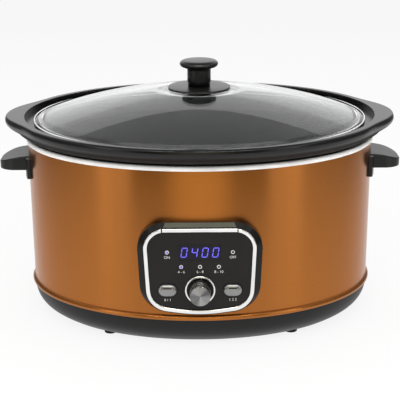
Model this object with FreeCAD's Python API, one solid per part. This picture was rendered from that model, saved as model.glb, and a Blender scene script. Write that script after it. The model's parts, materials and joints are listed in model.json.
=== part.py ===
import FreeCAD, Part
import math
import os

# Oval countertop slow cooker, millimetres
# +X to the right, the control panel faces -Y, +Z up, origin on the table under the middle of the oval

# Oval body: half sizes of the outside of the metal wrap
body_half_length = 191.0
body_half_depth = 136.0
sheet = 0.8

# Gaps between pieces
seat_gap = 0.2
running_gap = 0.05
slide_gap = 0.35
screw_gap = 0.1

# Heights of the stacked housing pieces, from the table up
foot_height = 5.0
base_height = 31.0
wrap_height = 162.4
ring_height = 5.1
pad_height = 1.7

# Base moulding
base_wall = 3.0
base_tuck = 19.5
base_opening_inset = 45.0
cover_lap = 7.0
cover_thickness = 2.0
foot_radius = 8.0
foot_taper = 1.0
foot_stem_radius = 2.5
foot_end_inset = 92.0
foot_side_inset = 53.0

# Rolled bottom edge of the wrap and the rim ring on top of it
bead_height = 6.5
bead_bulge = 2.8
ring_bulge = 1.5
ring_width = 7.5

# Heated well
well_top_inset = 15.0
well_bottom_inset = 27.5
well_floor_lift = 11.0
flange_inset = 2.0
pad_inset = 4.0
pad_width = 5.0

# Heater and its shield
heater_lift = 14.0
heater_height = 50.0
heater_thickness = 3.0
shield_inset = 34.0
shield_drop = 7.0
tie_radius = 3.0
tie_sleeve_wall = 3.0
nut_height = 4.0
nut_radius = 5.5
sensor_x = 60.0
sensor_radius = 6.0
sensor_height = 5.0
sensor_nub = 0.9

# Crock
crock_gap = 2.5
crock_floor_gap = 3.0
crock_wall = 8.0
crock_floor_round = 12.0
bowl_floor_round = 16.0
rim_height = 21.5
rim_end_overhang = 11.0
rim_side_overhang = 27.0
rim_edge_round = 2.5
ear_half_length = 50.0
ear_half_width = 61.0
ear_reach = 24.0
ear_blend = 10.0
outline_steps = 72
lid_seat_depth = 6.5
recess_end_gap = 10.0
recess_side_gap = 8.0
lid_ledge = 6.0

# Lid
lid_end_inset = 19.0
lid_side_inset = 14.4
lid_edge_height = 6.0
lid_edge_round = 1.8
dome_height = 28.0
dome_start_scale = 0.985
dome_power = 1.7
crown_scale = 0.25
glass_thickness = 4.0
lid_hole_radius = 3.5

# Lid knob
disc_radius = 34.3
disc_height = 2.4
disc_dish = 0.6
collar_radius = 12.0
collar_height = 4.6
post_radius = 12.9
post_height = 14.0
cap_radius = 21.1
cap_height = 10.5
lid_screw_radius = 2.5
lid_screw_length = 21.0
lid_screw_head_radius = 5.0
lid_screw_head_height = 3.0
washer_radius = 9.0
washer_thickness = 1.5

# Side handles
handle_reach = 32.0
handle_half_depth = 25.0
handle_drop = 14.4
handle_height = 15.6
handle_droop = 8.0
handle_corner = 18.0
handle_wall = 3.5
handle_root = 20.0
handle_edge_round = 1.0
plate_thickness = 4.0
plate_half_width = 33.0
plate_height = 23.7
handle_screw_radius = 2.0
handle_screw_length = 15.0
handle_boss_wall = 2.5
handle_screw_y = 15.0
handle_screw_drop = 9.5
handle_screw_head_radius = 3.8
handle_screw_head_height = 2.2

# Control panel: outline of the bright frame, seen from the front
panel_stand = 10.0
panel_top = 141.4
panel_bottom = 47.6
panel_top_half = 58.6
panel_bottom_half = 54.6
panel_bow = 8.0
panel_bow_radius = 150.0
panel_top_corner = 22.0
panel_bottom_corner = 24.0
pod_lip = 0.8
pod_side_flare = 6.5
pod_top_flare = 5.3
pod_bottom_flare = 1.5
pod_flare_depth = 4.0
pod_depth = 22.0
pod_wall = 7.0
frame_width = 4.0
frame_height = 4.0
frame_notch = 1.2
frame_notch_x = 38.5
face_sunk = 2.0
face_thickness = 2.0
board_gap = 8.0
wrap_window_half = 47.0
wrap_window_margin = 13.0

# Things on the panel
display_z = 115.2
display_half_width = 21.0
display_half_height = 8.3
pipe_radius = 1.6
pipe_upper_x = 33.5
pipe_upper_z = 115.5
pipe_lower_x = 19.2
pipe_lower_z = 99.6
control_z = 74.3
dial_ring_radius = 15.7
dial_ring_width = 2.3
dial_ring_height = 2.2
dial_radius = 10.75
dial_stand = 16.0
dial_dish_thickness = 1.2
shaft_radius = 3.0
bushing_radius = 4.5
encoder_half = 6.5
encoder_height = 6.0
button_x = 33.5
button_width = 19.6
button_height = 13.5
button_stand = 4.0
button_flange = 1.5
button_travel = 1.0
switch_half = 3.0
switch_height = 4.3

# Control board
board_thickness = 1.6
board_half_width = 38.0
board_bottom = 64.0
board_top = 127.0
post_upper_x = 34.0
post_upper_z = 123.0
post_lower_x = 19.5
post_lower_z = 68.0
board_post_radius = 3.0
board_screw_radius = 1.2
board_screw_head_radius = 2.3
board_screw_head_height = 1.6

# Power board in the base
power_half_width = 55.0
power_front_inset = 41.0
power_depth = 60.0
power_post_height = 10.0
power_post_radius = 4.0
power_post_edge = 6.0
relay_size = 19.0
relay_height = 15.0
capacitor_radius = 6.0
capacitor_height = 14.0
terminal_width = 24.0
terminal_height = 10.0

# Cord inlet at the back of the base
gland_z = 20.0
gland_radius = 6.0
gland_bore = 3.6
gland_flange_radius = 8.5
gland_flange = 2.0
gland_boss_wall = 4.0
gland_length = 18.0
gland_inset = 0.5

# Heights that follow from the values above
base_z = foot_height
cover_z = base_z + base_wall
wrap_z = base_z + base_height
ring_z = wrap_z + wrap_height
flange_z = ring_z + ring_height
pad_z = flange_z + sheet
rim_z = pad_z + pad_height
crest_z = rim_z + rim_height
lid_z = crest_z - lid_seat_depth
lid_edge_z = lid_z + lid_edge_height
crown_z = lid_edge_z + dome_height
disc_z = crown_z + disc_height
well_floor_z = wrap_z + well_floor_lift
crock_floor_z = well_floor_z + crock_floor_gap
shield_z = well_floor_z - sheet - shield_drop
handle_top = ring_z - handle_drop
handle_screw_z = handle_top - handle_screw_drop
plate_bottom = handle_top - plate_height

# Half sizes of the lid, set in from the widest part of the crock rim
lid_half_length = body_half_length + rim_end_overhang - lid_end_inset
lid_half_depth = body_half_depth + rim_side_overhang - lid_side_inset

# Depths of the panel layers along Y, front first
panel_front = -body_half_depth - panel_stand
pod_front = panel_front + 1.0
face_front = panel_front + face_sunk
face_back = face_front + face_thickness
board_front = face_back + board_gap
board_back = board_front + board_thickness

# Ends of the power board along Y
power_front = -body_half_depth + power_front_inset
power_back = power_front + power_depth


def vec(x, y, z):
    return FreeCAD.Vector(x, y, z)


def oval_wire(half_length, half_depth, z):
    return Part.Wire([Part.Ellipse(vec(0, 0, z), half_length, half_depth).toShape()])


def inset_wire(inset, z):
    return oval_wire(body_half_length - inset, body_half_depth - inset, z)


def oval_prism(inset, low, high):
    return Part.Face(inset_wire(inset, low)).extrude(vec(0, 0, high - low))


def oval_ring(outer_inset, inner_inset, low, high):
    return oval_prism(outer_inset, low, high).cut(oval_prism(inner_inset, low - 1, high + 1))


def oval_loft(levels, ruled):
    wires = [inset_wire(inset, z) for z, inset in levels]
    return Part.makeLoft(wires, True, ruled)


def cylinder(radius, start, along, length):
    return Part.makeCylinder(radius, length, start, along)


def hexagon(radius, x, y, low, high):
    corners = []
    for step in range(7):
        turn = math.radians(60 * step)
        corners.append(vec(x + radius * math.cos(turn), y + radius * math.sin(turn), low))
    return Part.Face(Part.makePolygon(corners)).extrude(vec(0, 0, high - low))


def turned(profile):
    corners = [vec(radius, 0, z) for radius, z in profile]
    corners.append(corners[0])
    return Part.Face(Part.makePolygon(corners)).revolve(vec(0, 0, 0), vec(0, 0, 1), 360)


def rounded_wire(corners, radii):
    # Closed wire of straight sides with an arc at every corner
    edges = []
    starts = []
    ends = []
    count = len(corners)
    for index in range(count):
        here = corners[index]
        back = (corners[index - 1] - here).normalize()
        ahead = (corners[(index + 1) % count] - here).normalize()
        half_angle = back.getAngle(ahead) / 2
        reach = radii[index] / math.tan(half_angle)
        middle = (back + ahead).normalize()
        to_arc = radii[index] / math.sin(half_angle) - radii[index]
        start = here + back * reach
        end = here + ahead * reach
        edges.append(Part.Arc(start, here + middle * to_arc, end).toShape())
        starts.append(start)
        ends.append(end)
    sides = []
    for index in range(count):
        sides.append(edges[index])
        sides.append(Part.makeLine(ends[index], starts[(index + 1) % count]))
    return Part.Wire(sides)


def panel_wire(y, sides, top, bottom):
    # Panel outline at depth y, grown by the three amounts
    low = panel_bottom - panel_bow_radius * (1 / math.cos(panel_bow_angle()) - 1) - bottom
    corner = low + panel_bow
    corners = [
        vec(-panel_top_half - sides, y, panel_top + top),
        vec(panel_top_half + sides, y, panel_top + top),
        vec(panel_bottom_half + sides, y, corner),
        vec(0, y, low),
        vec(-panel_bottom_half - sides, y, corner),
    ]
    upper = panel_top_corner + sides
    lower = panel_bottom_corner + sides
    return rounded_wire(corners, [upper, upper, lower, panel_bow_radius, lower])


def panel_bow_angle():
    return math.atan(panel_bow / panel_bottom_half)


def panel_prism(grow, front, back):
    return Part.Face(panel_wire(front, grow, grow, grow)).extrude(vec(0, back - front, 0))


def pill(x, z, width, height, front, back):
    # Rounded-end bar lying along X, run from front to back along Y
    radius = height / 2
    half = width / 2 - radius
    body = Part.makeBox(2 * half, back - front, height, vec(x - half, front, z - radius))
    for side in (-half, half):
        body = body.fuse(cylinder(radius, vec(x + side, front, z), vec(0, 1, 0), back - front))
    return body.removeSplitter()


def along_y(radius, x, z, front, back):
    return cylinder(radius, vec(x, front, z), vec(0, 1, 0), back - front)


def button_places():
    return [(-button_x, control_z), (button_x, control_z)]


def pipe_places():
    upper = [(-pipe_upper_x, pipe_upper_z), (pipe_upper_x, pipe_upper_z)]
    lower = [(side * pipe_lower_x, pipe_lower_z) for side in (-1, 0, 1)]
    return upper + lower


def board_post_places():
    upper = [(-post_upper_x, post_upper_z), (post_upper_x, post_upper_z)]
    lower = [(-post_lower_x, post_lower_z), (post_lower_x, post_lower_z)]
    return upper + lower


def foot_places():
    foot_x = body_half_length - foot_end_inset
    foot_y = body_half_depth - foot_side_inset
    return [(x, y) for x in (-foot_x, foot_x) for y in (-foot_y, foot_y)]


def power_post_places():
    column = power_half_width - power_post_edge
    rows = (power_front + power_post_edge, power_back - power_post_edge)
    return [(x, y) for x in (-column, column) for y in rows]


def well_inset(z):
    # Inner inset of the well wall at height z
    share = (z - well_floor_z) / (pad_z - well_floor_z)
    return well_bottom_inset + (well_top_inset - well_bottom_inset) * share


# Base: a moulding that tucks in towards the table, open above and below
def make_base():
    levels = [(0.0, 1.0), (0.19, 0.58), (0.42, 0.25), (0.71, 0.05), (1.0, -0.02)]
    outer = [(base_z + share * base_height, tuck * base_tuck) for share, tuck in levels]
    inner = [(z, inset + base_wall) for z, inset in outer]
    hollow = oval_loft(inner, False).common(oval_prism(0, cover_z, wrap_z + 1))
    base = oval_loft(outer, False).cut(hollow)
    base = base.cut(oval_prism(base_opening_inset, base_z - 1, cover_z + 1))
    boss_radius = gland_radius + gland_boss_wall
    boss_end = body_half_depth - gland_inset
    boss = cylinder(boss_radius, vec(0, boss_end, gland_z), vec(0, -1, 0), gland_length - gland_flange)
    base = base.fuse(boss)
    passage_start = vec(0, boss_end + 1, gland_z)
    base = base.cut(cylinder(gland_radius + running_gap, passage_start, vec(0, -1, 0), gland_length + 2))
    for x, y in foot_places():
        hole = cylinder(foot_stem_radius + screw_gap, vec(x, y, base_z - 1), vec(0, 0, 1), base_wall + 2)
        base = base.cut(hole)
    return base


def make_bottom_cover():
    cover = oval_prism(base_opening_inset - cover_lap, cover_z, cover_z + cover_thickness)
    top = cover_z + cover_thickness
    for x, y in power_post_places():
        cover = cover.fuse(cylinder(power_post_radius, vec(x, y, top), vec(0, 0, 1), power_post_height))
        hole = cylinder(board_screw_radius + screw_gap, vec(x, y, top + 1), vec(0, 0, 1), power_post_height)
        cover = cover.cut(hole)
    passage = cylinder(tie_radius + running_gap, vec(0, 0, cover_z - 1), vec(0, 0, 1), cover_thickness + 2)
    return cover.cut(passage)


def make_feet():
    feet = []
    for x, y in foot_places():
        pad = Part.makeCone(foot_radius - foot_taper, foot_radius, foot_height, vec(x, y, 0))
        stem = cylinder(foot_stem_radius, vec(x, y, base_z), vec(0, 0, 1), base_wall)
        feet.append(pad.fuse(stem).removeSplitter())
    return Part.makeCompound(feet)


def make_outer_wrap():
    levels = [(0.0, 0.3), (0.16, 0.8), (0.42, 1.0), (0.68, 0.85), (0.88, 0.35), (1.0, -0.15)]
    bead = [(wrap_z + share * bead_height, -bulge * bead_bulge) for share, bulge in levels]
    wrap = oval_loft(bead, False).fuse(oval_prism(0, wrap_z, ring_z))
    wrap = wrap.cut(oval_prism(sheet, wrap_z - 1, ring_z + 1))
    low = panel_bottom + wrap_window_margin
    high = panel_top - wrap_window_margin
    corner = vec(-wrap_window_half, panel_front, low)
    window = Part.makeBox(2 * wrap_window_half, panel_stand + pod_depth, high - low, corner)
    wrap = wrap.cut(window)
    for side in (-1, 1):
        for y in (-handle_screw_y, handle_screw_y):
            start = vec(side * (body_half_length - handle_root), y, handle_screw_z)
            hole = cylinder(handle_screw_radius + screw_gap, start, vec(side, 0, 0), 2 * handle_root)
            wrap = wrap.cut(hole)
    return wrap


def make_rim_ring():
    levels = [(0.0, 0.1), (0.2, 0.75), (0.5, 1.0), (0.8, 0.7), (1.0, -0.2)]
    outer = [(ring_z + share * ring_height, -bulge * ring_bulge) for share, bulge in levels]
    return oval_loft(outer, False).cut(oval_prism(ring_width - ring_bulge, ring_z - 1, flange_z + 1))


def make_heating_well():
    floor = well_floor_z - sheet
    outer = oval_loft([(floor, well_bottom_inset - sheet), (pad_z, well_top_inset - sheet)], True)
    outer = outer.fuse(oval_prism(flange_inset, flange_z, pad_z))
    inner = oval_loft([(well_floor_z, well_bottom_inset), (pad_z, well_top_inset)], True)
    return outer.cut(inner)


def make_seat_pad():
    return oval_ring(pad_inset, pad_inset + pad_width, pad_z, rim_z)


def make_heater_band():
    low = well_floor_z + heater_lift
    high = low + heater_height
    inner = [(z, well_inset(z) - sheet - seat_gap) for z in (low, high)]
    outer = [(z, inset - heater_thickness) for z, inset in inner]
    return oval_loft(outer, True).cut(oval_loft(inner, True))


def make_heat_shield():
    shield = oval_prism(shield_inset, shield_z, shield_z + sheet)
    return shield.cut(cylinder(tie_radius + running_gap, vec(0, 0, shield_z - 1), vec(0, 0, 1), 4))


def make_tie_bolt():
    end = cover_z - nut_height - 0.5
    return cylinder(tie_radius, vec(0, 0, end), vec(0, 0, 1), well_floor_z - sheet - end)


def make_tie_sleeves():
    spans = [(cover_z + cover_thickness, shield_z), (shield_z + sheet, well_floor_z - sheet)]
    sleeves = []
    for low, high in spans:
        sleeve = cylinder(tie_radius + tie_sleeve_wall, vec(0, 0, low), vec(0, 0, 1), high - low)
        passage = cylinder(tie_radius + running_gap, vec(0, 0, low - 1), vec(0, 0, 1), high - low + 2)
        sleeves.append(sleeve.cut(passage))
    return Part.makeCompound(sleeves)


def make_tie_nut():
    nut = hexagon(nut_radius, 0, 0, cover_z - nut_height, cover_z)
    return nut.cut(cylinder(tie_radius + running_gap, vec(0, 0, 0), vec(0, 0, 1), cover_z + 1))


def make_temperature_sensor():
    top = well_floor_z - sheet
    low = top - sensor_height
    body = cylinder(sensor_radius, vec(sensor_x, 0, low), vec(0, 0, 1), sensor_height)
    nub = cylinder(sensor_radius / 2, vec(sensor_x, 0, low - sensor_nub), vec(0, 0, 1), sensor_nub)
    return body.fuse(nub).removeSplitter()


def make_thermal_fuse():
    # Clipped to the outside of the heater band at its back
    z = well_floor_z + heater_lift + heater_height / 2
    band_depth = body_half_depth - well_inset(z + 8) + sheet + seat_gap + heater_thickness
    body = Part.makeBox(28, 5, 9, vec(-14, band_depth + slide_gap, z - 4.5))
    return body.fuse(Part.makeBox(8, 5, 16, vec(-4, band_depth + slide_gap, z - 8)))


# Crock: a tapered pot with a wide flared rim
def make_crock():
    low = [(crock_floor_z, well_bottom_inset + crock_gap), (rim_z, well_top_inset + crock_gap)]
    pot = oval_loft(low, True)
    pot = pot.makeFillet(crock_floor_round, [pot_edge(pot, crock_floor_z)])
    crock = pot.fuse(crock_rim())
    floor = crock_floor_z + crock_wall
    neck_z = rim_z - 1.0
    neck = well_top_inset + crock_gap + crock_wall
    bowl = oval_loft([(floor, well_bottom_inset + crock_gap + crock_wall), (neck_z, neck)], True)
    bowl = bowl.makeFillet(bowl_floor_round, [pot_edge(bowl, floor)])
    mouth_wire = oval_wire(lid_half_length - lid_ledge, lid_half_depth - lid_ledge, lid_z)
    mouth = Part.makeLoft([inset_wire(neck, neck_z), mouth_wire], True, True)
    recess_wire = oval_wire(lid_half_length + recess_end_gap, lid_half_depth + recess_side_gap, lid_z)
    recess = Part.Face(recess_wire).extrude(vec(0, 0, 2 * lid_seat_depth))
    return crock.cut(bowl).cut(mouth).cut(recess)


def crock_rim():
    # Share of the rim height, of the overhang and of the ear size at each level
    levels = [
        (0.0, -0.04, 0.61),
        (0.16, 0.36, 0.72),
        (0.36, 0.7, 0.843),
        (0.58, 0.92, 0.969),
        (0.8, 1.0, 1.0),
        (1.0, 0.95, 0.97),
    ]
    wires = [rim_wire(rim_z + share * rim_height, out, size) for share, out, size in levels]
    rim = Part.makeLoft(wires, True, False)
    return rim.makeFillet(rim_edge_round, [pot_edge(rim, crest_z)])


def rim_wire(z, out, size):
    # Rim outline at height z: the oval with an ear blended into each end
    points = []
    for step in range(outline_steps):
        turn = 2 * math.pi * step / outline_steps
        along = vec(math.cos(turn), math.sin(turn), 0)
        inside = 0.0
        outside = 2 * body_half_length
        while outside - inside > 1e-6:
            reach = (inside + outside) / 2
            if rim_distance(along * reach, out, size) < 0:
                inside = reach
            else:
                outside = reach
        points.append(vec(along.x * inside, along.y * inside, z))
    curve = Part.BSplineCurve()
    curve.interpolate(points, PeriodicFlag=True)
    return Part.Wire([curve.toShape()])


def rim_distance(point, out, size):
    # Distance outside the blended outline, negative inside it
    half_length = body_half_length + out * rim_end_overhang
    half_depth = body_half_depth + out * rim_side_overhang
    oval = oval_distance(point.x, point.y, half_length, half_depth)
    middle = body_half_length + ear_reach - ear_half_length
    ear = oval_distance(abs(point.x) - middle, point.y, ear_half_length * size, ear_half_width * size)
    share = min(max(0.5 + 0.5 * (ear - oval) / ear_blend, 0.0), 1.0)
    return ear + (oval - ear) * share - ear_blend * share * (1 - share)


def oval_distance(x, y, half_x, half_y):
    slope = math.hypot(x / half_x ** 2, y / half_y ** 2)
    if slope == 0:
        return -min(half_x, half_y)
    size = math.hypot(x / half_x, y / half_y)
    return (size - 1) * size / slope


def pot_edge(solid, z):
    # The closed edge of a lofted solid at height z
    for edge in solid.Edges:
        box = edge.BoundBox
        if abs(box.ZMin - z) < 0.01 and abs(box.ZMax - z) < 0.01:
            return edge
    raise ValueError("no edge at this height")


def lid_wire(scale, z):
    return oval_wire(lid_half_length * scale, lid_half_depth * scale, z)


def dome_low(drop):
    rise = dome_height / (1 - crown_scale ** dome_power)
    return lid_edge_z + rise * (1 - dome_start_scale ** dome_power) - drop


def dome(drop):
    # Solid under the dome surface, lowered by the glass thickness for the inside
    rise = dome_height / (1 - crown_scale ** dome_power)
    scales = [dome_start_scale, 0.9, 0.78, 0.62, 0.44, crown_scale]
    heights = [lid_edge_z + rise * (1 - scale ** dome_power) - drop for scale in scales]
    wires = [lid_wire(scale - 0.012 * drop, z) for scale, z in zip(scales, heights)]
    return Part.makeLoft(wires, True, False)


def dome_with_skirt(drop):
    upper = dome(drop)
    low = lid_z if drop == 0 else lid_z - 1
    foot = Part.Face(lid_wire(dome_start_scale - 0.012 * drop, low))
    return upper.fuse(foot.extrude(vec(0, 0, dome_low(drop) - low)))


# Lid
def make_lid_glass():
    edge = Part.Face(lid_wire(1.0, lid_z)).extrude(vec(0, 0, lid_edge_height))
    edge = edge.makeFillet(lid_edge_round, [pot_edge(edge, lid_edge_z)])
    glass = edge.fuse(dome_with_skirt(0.0)).cut(dome_with_skirt(glass_thickness))
    hole = cylinder(lid_hole_radius, vec(0, 0, lid_z), vec(0, 0, 1), 2 * dome_height)
    return glass.cut(hole)


def make_knob_disc():
    hole = lid_screw_radius + screw_gap
    profile = [
        (hole, crown_z),
        (disc_radius - 1.2, crown_z),
        (disc_radius, crown_z + 0.8),
        (disc_radius - 0.4, disc_z - 0.3),
        (disc_radius - 1.5, disc_z),
        (collar_radius + 1.0, disc_z - disc_dish),
        (hole, disc_z - disc_dish),
    ]
    return turned(profile)


def make_lid_knob():
    low = disc_z - disc_dish
    step = low + collar_height
    neck = step + post_height
    top = neck + cap_height
    profile = [
        (0, low + lid_screw_length - 4),
        (lid_screw_radius + screw_gap, low + lid_screw_length - 4),
        (lid_screw_radius + screw_gap, low),
        (collar_radius, low),
        (collar_radius, step - 0.6),
        (post_radius, step),
        (post_radius, neck),
        (cap_radius - 2.6, neck + 2.6),
        (cap_radius - 0.6, neck + 4.4),
        (cap_radius, neck + 6.0),
        (cap_radius - 0.5, neck + 7.6),
        (cap_radius - 2.0, neck + 9.0),
        (cap_radius - 5.0, neck + 9.9),
        (cap_radius * 0.4, top),
        (0, top),
    ]
    return turned(profile)


def make_lid_washer():
    under = crown_z - glass_thickness
    washer = cylinder(washer_radius, vec(0, 0, under - washer_thickness), vec(0, 0, 1), washer_thickness)
    hole = cylinder(lid_screw_radius + screw_gap, vec(0, 0, under - 5), vec(0, 0, 1), 10)
    return washer.cut(hole)


def make_lid_screw():
    seat = crown_z - glass_thickness - washer_thickness
    low = seat - lid_screw_head_height
    head = cylinder(lid_screw_head_radius, vec(0, 0, low), vec(0, 0, 1), lid_screw_head_height)
    shank = cylinder(lid_screw_radius, vec(0, 0, seat), vec(0, 0, 1), lid_screw_length)
    slot = Part.makeBox(2 * lid_screw_head_radius, 1.2, 1.4, vec(-lid_screw_head_radius, -0.6, low))
    return head.fuse(shank).cut(slot).removeSplitter()


# Side handles: a drooping grip with a hollow underside on a curved plate against the wrap
def make_handle(side):
    start = body_half_length - handle_root
    grip = grip_block(start, 0.0)
    grip = grip.makeFillet(handle_edge_round, [edge for edge in grip.Edges if rounds_over(edge)])
    hollow = grip_block(body_half_length + plate_thickness, handle_wall)
    hollow.translate(vec(0, 0, -handle_wall))
    plate = oval_prism(-plate_thickness, plate_bottom, handle_top - handle_edge_round)
    corner = vec(start, -plate_half_width, plate_bottom)
    plate = plate.common(Part.makeBox(handle_reach + handle_root, 2 * plate_half_width, plate_height, corner))
    handle = grip.cut(hollow).fuse(plate)
    handle = handle.cut(oval_prism(-seat_gap, 0, crest_z))
    for y in (-handle_screw_y, handle_screw_y):
        seat = vec(body_half_length - 2.0, y, handle_screw_z)
        boss = cylinder(handle_screw_radius + handle_boss_wall, seat, vec(1, 0, 0), handle_screw_length + 1)
        hole_start = vec(start, y, handle_screw_z)
        hole_length = handle_root + handle_screw_length
        hole = cylinder(handle_screw_radius + screw_gap, hole_start, vec(1, 0, 0), hole_length)
        handle = handle.fuse(boss).cut(oval_prism(-seat_gap, 0, crest_z)).cut(hole)
    if side < 0:
        handle = handle.mirror(vec(0, 0, 0), vec(1, 0, 0))
    return handle


def grip_block(start, inset):
    # Side profile with a falling top, cut to the plan outline
    end = body_half_length + handle_reach - inset
    half = handle_half_depth - inset
    low = handle_top - handle_height
    tip = handle_top - handle_droop
    top_start = vec(start, 0, handle_top)
    bend = vec(body_half_length, 0, handle_top)
    middle = vec(body_half_length + 0.45 * handle_reach, 0, handle_top - 0.23 * handle_droop)
    edges = [
        Part.makeLine(vec(start, 0, low), vec(end, 0, low)),
        Part.makeLine(vec(end, 0, low), vec(end, 0, tip)),
        Part.Arc(vec(end, 0, tip), middle, bend).toShape(),
        Part.makeLine(bend, top_start),
        Part.makeLine(top_start, vec(start, 0, low)),
    ]
    side_face = Part.Face(Part.Wire(edges))
    side_face.translate(vec(0, -half, 0))
    profile = side_face.extrude(vec(0, 2 * half, 0))
    corners = [vec(start, -half, low), vec(end, -half, low), vec(end, half, low), vec(start, half, low)]
    corner = handle_corner - inset
    plan = Part.Face(rounded_wire(corners, [0.5, corner, corner, 0.5])).extrude(vec(0, 0, handle_height + 1))
    return profile.common(plan)


def rounds_over(edge):
    # Edges around the falling top of the grip, away from the wrap
    box = edge.BoundBox
    low = handle_top - handle_droop
    upright = box.ZLength > handle_droop
    across = box.YLength > 2 * handle_half_depth - 1 and box.XLength < 0.1
    return box.ZMin > low - 0.01 and box.XMax > body_half_length + 0.1 and not upright and not across


def make_handle_screws():
    screws = []
    share = math.sqrt(1 - (handle_screw_y + handle_screw_head_radius) ** 2 / body_half_depth ** 2)
    seat = (body_half_length - sheet) * share - slide_gap
    for side in (-1, 1):
        for y in (-handle_screw_y, handle_screw_y):
            along = vec(side, 0, 0)
            seat_point = vec(side * seat, y, handle_screw_z)
            head = cylinder(handle_screw_head_radius, seat_point, vec(-side, 0, 0), handle_screw_head_height)
            shank = cylinder(handle_screw_radius, seat_point, along, handle_screw_length)
            screws.append(head.fuse(shank).removeSplitter())
    return Part.makeCompound(screws)


# Control panel
def make_panel_pod():
    back = pod_front + pod_depth
    shoulder = pod_front + pod_flare_depth
    front_wire = panel_wire(pod_front, pod_lip, pod_lip, pod_lip)
    back_wire = panel_wire(shoulder, pod_side_flare, pod_top_flare, pod_bottom_flare)
    pod = Part.makeLoft([front_wire, back_wire], True, True)
    pod = pod.fuse(Part.Face(back_wire).extrude(vec(0, back - shoulder, 0)))
    pod = pod.cut(oval_prism(-seat_gap, 0, crest_z))
    pod = pod.cut(panel_prism(seat_gap, pod_front - 5, face_back))
    return pod.cut(panel_prism(-pod_wall, face_back - 1, back + 5))


def frame_ring():
    ring = panel_prism(0.0, panel_front, panel_front + frame_height)
    ring = ring.cut(panel_prism(-frame_width, panel_front - 1, panel_front + frame_height + 1))
    front_edges = [edge for edge in ring.Edges if abs(edge.BoundBox.YMax - panel_front) < 0.01]
    return ring.makeFillet(0.9, front_edges)


def notch_boxes():
    boxes = []
    for side in (-1, 1):
        low = vec(side * frame_notch_x - frame_notch / 2, panel_front - 1, panel_top - 3 * frame_width)
        boxes.append(Part.makeBox(frame_notch, frame_height + 2, 4 * frame_width, low))
    return boxes


def top_bar_space():
    corner = vec(-frame_notch_x, panel_front - 1, panel_top - 3 * frame_width)
    return Part.makeBox(2 * frame_notch_x, frame_height + 2, 4 * frame_width, corner)


def make_panel_frame():
    frame = frame_ring().cut(top_bar_space())
    for box in notch_boxes():
        frame = frame.cut(box)
    return frame


def make_panel_frame_top():
    bar = frame_ring().common(top_bar_space())
    for box in notch_boxes():
        bar = bar.cut(box)
    return bar


def make_panel_face():
    face = panel_prism(-frame_width - seat_gap, face_front, face_back)
    front = face_front - 1
    back = board_front
    for x, z in board_post_places():
        face = face.fuse(along_y(board_post_radius, x, z, face_back, board_front))
        face = face.cut(along_y(board_screw_radius + screw_gap, x, z, face_back + 1, board_front + 1))
    face = face.cut(along_y(dial_ring_radius - dial_ring_width, 0, control_z, front, back))
    for x, z in button_places():
        face = face.cut(pill(x, z, button_width + 2 * slide_gap, button_height + 2 * slide_gap, front, back))
    for x, z in pipe_places():
        face = face.cut(along_y(pipe_radius + screw_gap, x, z, front, back))
    half_width = display_half_width + seat_gap
    half_height = display_half_height + seat_gap
    corner = vec(-half_width, front, display_z - half_height)
    return face.cut(Part.makeBox(2 * half_width, back - front, 2 * half_height, corner))


def make_display_window():
    low = vec(-display_half_width, face_front, display_z - display_half_height)
    return Part.makeBox(2 * display_half_width, face_thickness, 2 * display_half_height, low)


def make_display_module():
    front = face_back + slide_gap
    low = vec(-display_half_width + 1, front, display_z - display_half_height + 0.5)
    return Part.makeBox(2 * display_half_width - 2, board_front - front, 2 * display_half_height - 1, low)


def make_light_pipes():
    pipes = [along_y(pipe_radius, x, z, face_front - 0.2, board_front) for x, z in pipe_places()]
    return Part.makeCompound(pipes)


def make_dial_ring():
    inner = dial_ring_radius - dial_ring_width
    ring = along_y(dial_ring_radius, 0, control_z, face_front - dial_ring_height, face_front)
    ring = ring.cut(along_y(inner, 0, control_z, face_front - 10, face_front + 10))
    front = face_front - dial_ring_height
    edges = [edge for edge in ring.Edges if abs(edge.BoundBox.YMax - front) < 0.01]
    return ring.makeFillet(0.9, edges)


def make_dial_dish():
    dish = along_y(dial_ring_radius, 0, control_z, face_back, face_back + dial_dish_thickness)
    return dish.cut(along_y(bushing_radius + screw_gap, 0, control_z, face_back - 1, face_back + 5))


def make_dial_knob():
    front = panel_front - dial_stand
    back = face_front + 0.6
    knob = along_y(dial_radius, 0, control_z, front, back)
    edges = [edge for edge in knob.Edges if abs(edge.BoundBox.YMax - front) < 0.01]
    knob = knob.makeFillet(1.0, edges)
    knob = knob.cut(along_y(shaft_radius + running_gap, 0, control_z, front + 4, back + 1))
    mark = Part.makeBox(3.0, 4.0, 1.2, vec(-1.5, front - 1, control_z + dial_radius - 1.2))
    return knob.cut(mark)


def make_encoder_shaft():
    return along_y(shaft_radius, 0, control_z, panel_front - dial_stand + 4.3, board_front - 1.5)


def make_rotary_encoder():
    front = board_front - encoder_height
    low = vec(-encoder_half, front, control_z - encoder_half)
    body = Part.makeBox(2 * encoder_half, encoder_height, 2 * encoder_half, low)
    body = body.fuse(along_y(bushing_radius, 0, control_z, face_front + 1.0, front))
    return body.cut(along_y(shaft_radius + running_gap, 0, control_z, face_front, board_front - 1.2))


def make_button(x, z):
    front = face_front - button_stand
    shoulder = face_back + slide_gap
    cap = pill(x, z, button_width, button_height, front, shoulder)
    edges = [edge for edge in cap.Edges if abs(edge.BoundBox.YMax - front) < 0.01]
    cap = cap.makeFillet(1.5, edges)
    grow = 2 * button_flange
    flange = pill(x, z, button_width + grow, button_height + grow, shoulder, shoulder + 1.2)
    stem_end = board_front - switch_height - button_travel - slide_gap
    button = cap.fuse(flange).fuse(along_y(2.0, x, z, shoulder + 1.2, stem_end))
    mark = Part.makeBox(9.0, 2.0, 0.9, vec(x - 4.5, front - 1.4, z + 2.4))
    return button.cut(mark).removeSplitter()


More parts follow.
